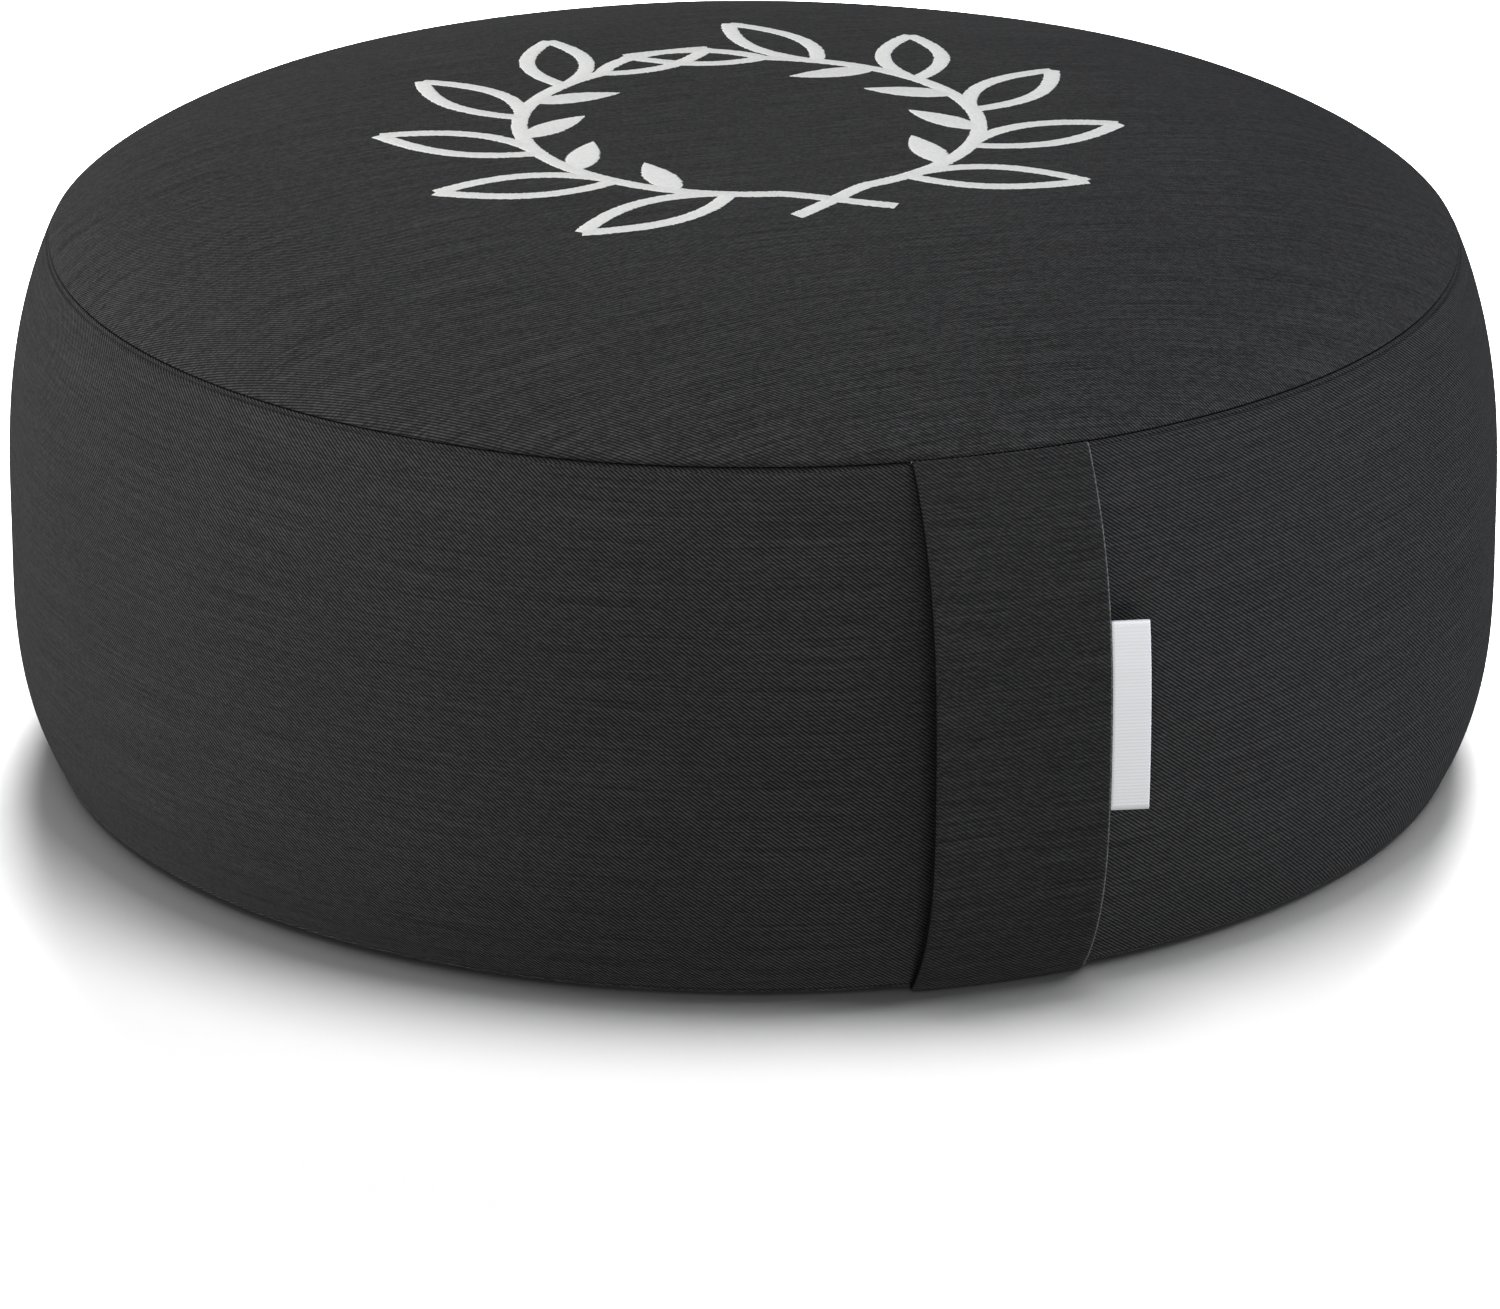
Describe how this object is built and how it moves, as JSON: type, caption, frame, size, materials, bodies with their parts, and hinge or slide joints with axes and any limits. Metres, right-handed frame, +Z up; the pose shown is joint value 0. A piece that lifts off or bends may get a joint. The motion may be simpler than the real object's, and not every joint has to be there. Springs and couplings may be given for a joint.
{
  "type": "zafu meditation cushion",
  "caption": "Round, low, firm floor cushion with a domed top, a bulging side band, a flat base, a strap handle across the band and a small bare side label.",
  "frame": {"origin": "centre of the base panel's flat underside, on the surface the cushion rests on", "axes": "+Z up through the crown of the top panel; the strap handle faces -Y, and its label stands out towards +X"},
  "size_m": [0.4064, 0.4149, 0.1725],
  "materials": {
    "band_twill": "matt charcoal cotton twill with faint slubs",
    "panel_twill": "matt charcoal cotton twill with faint slubs, embroidered in white satin stitch on the top panel",
    "strap_twill": "doubled matt charcoal cotton twill",
    "label_satin": "soft white woven satin tape"
  },
  "bodies": {
    "root": {"cushion_body": "band_twill", "top_panel": "panel_twill", "base_panel": "panel_twill", "handle_strap": "strap_twill", "side_label": "label_satin"}
  },
  "joints": []
}
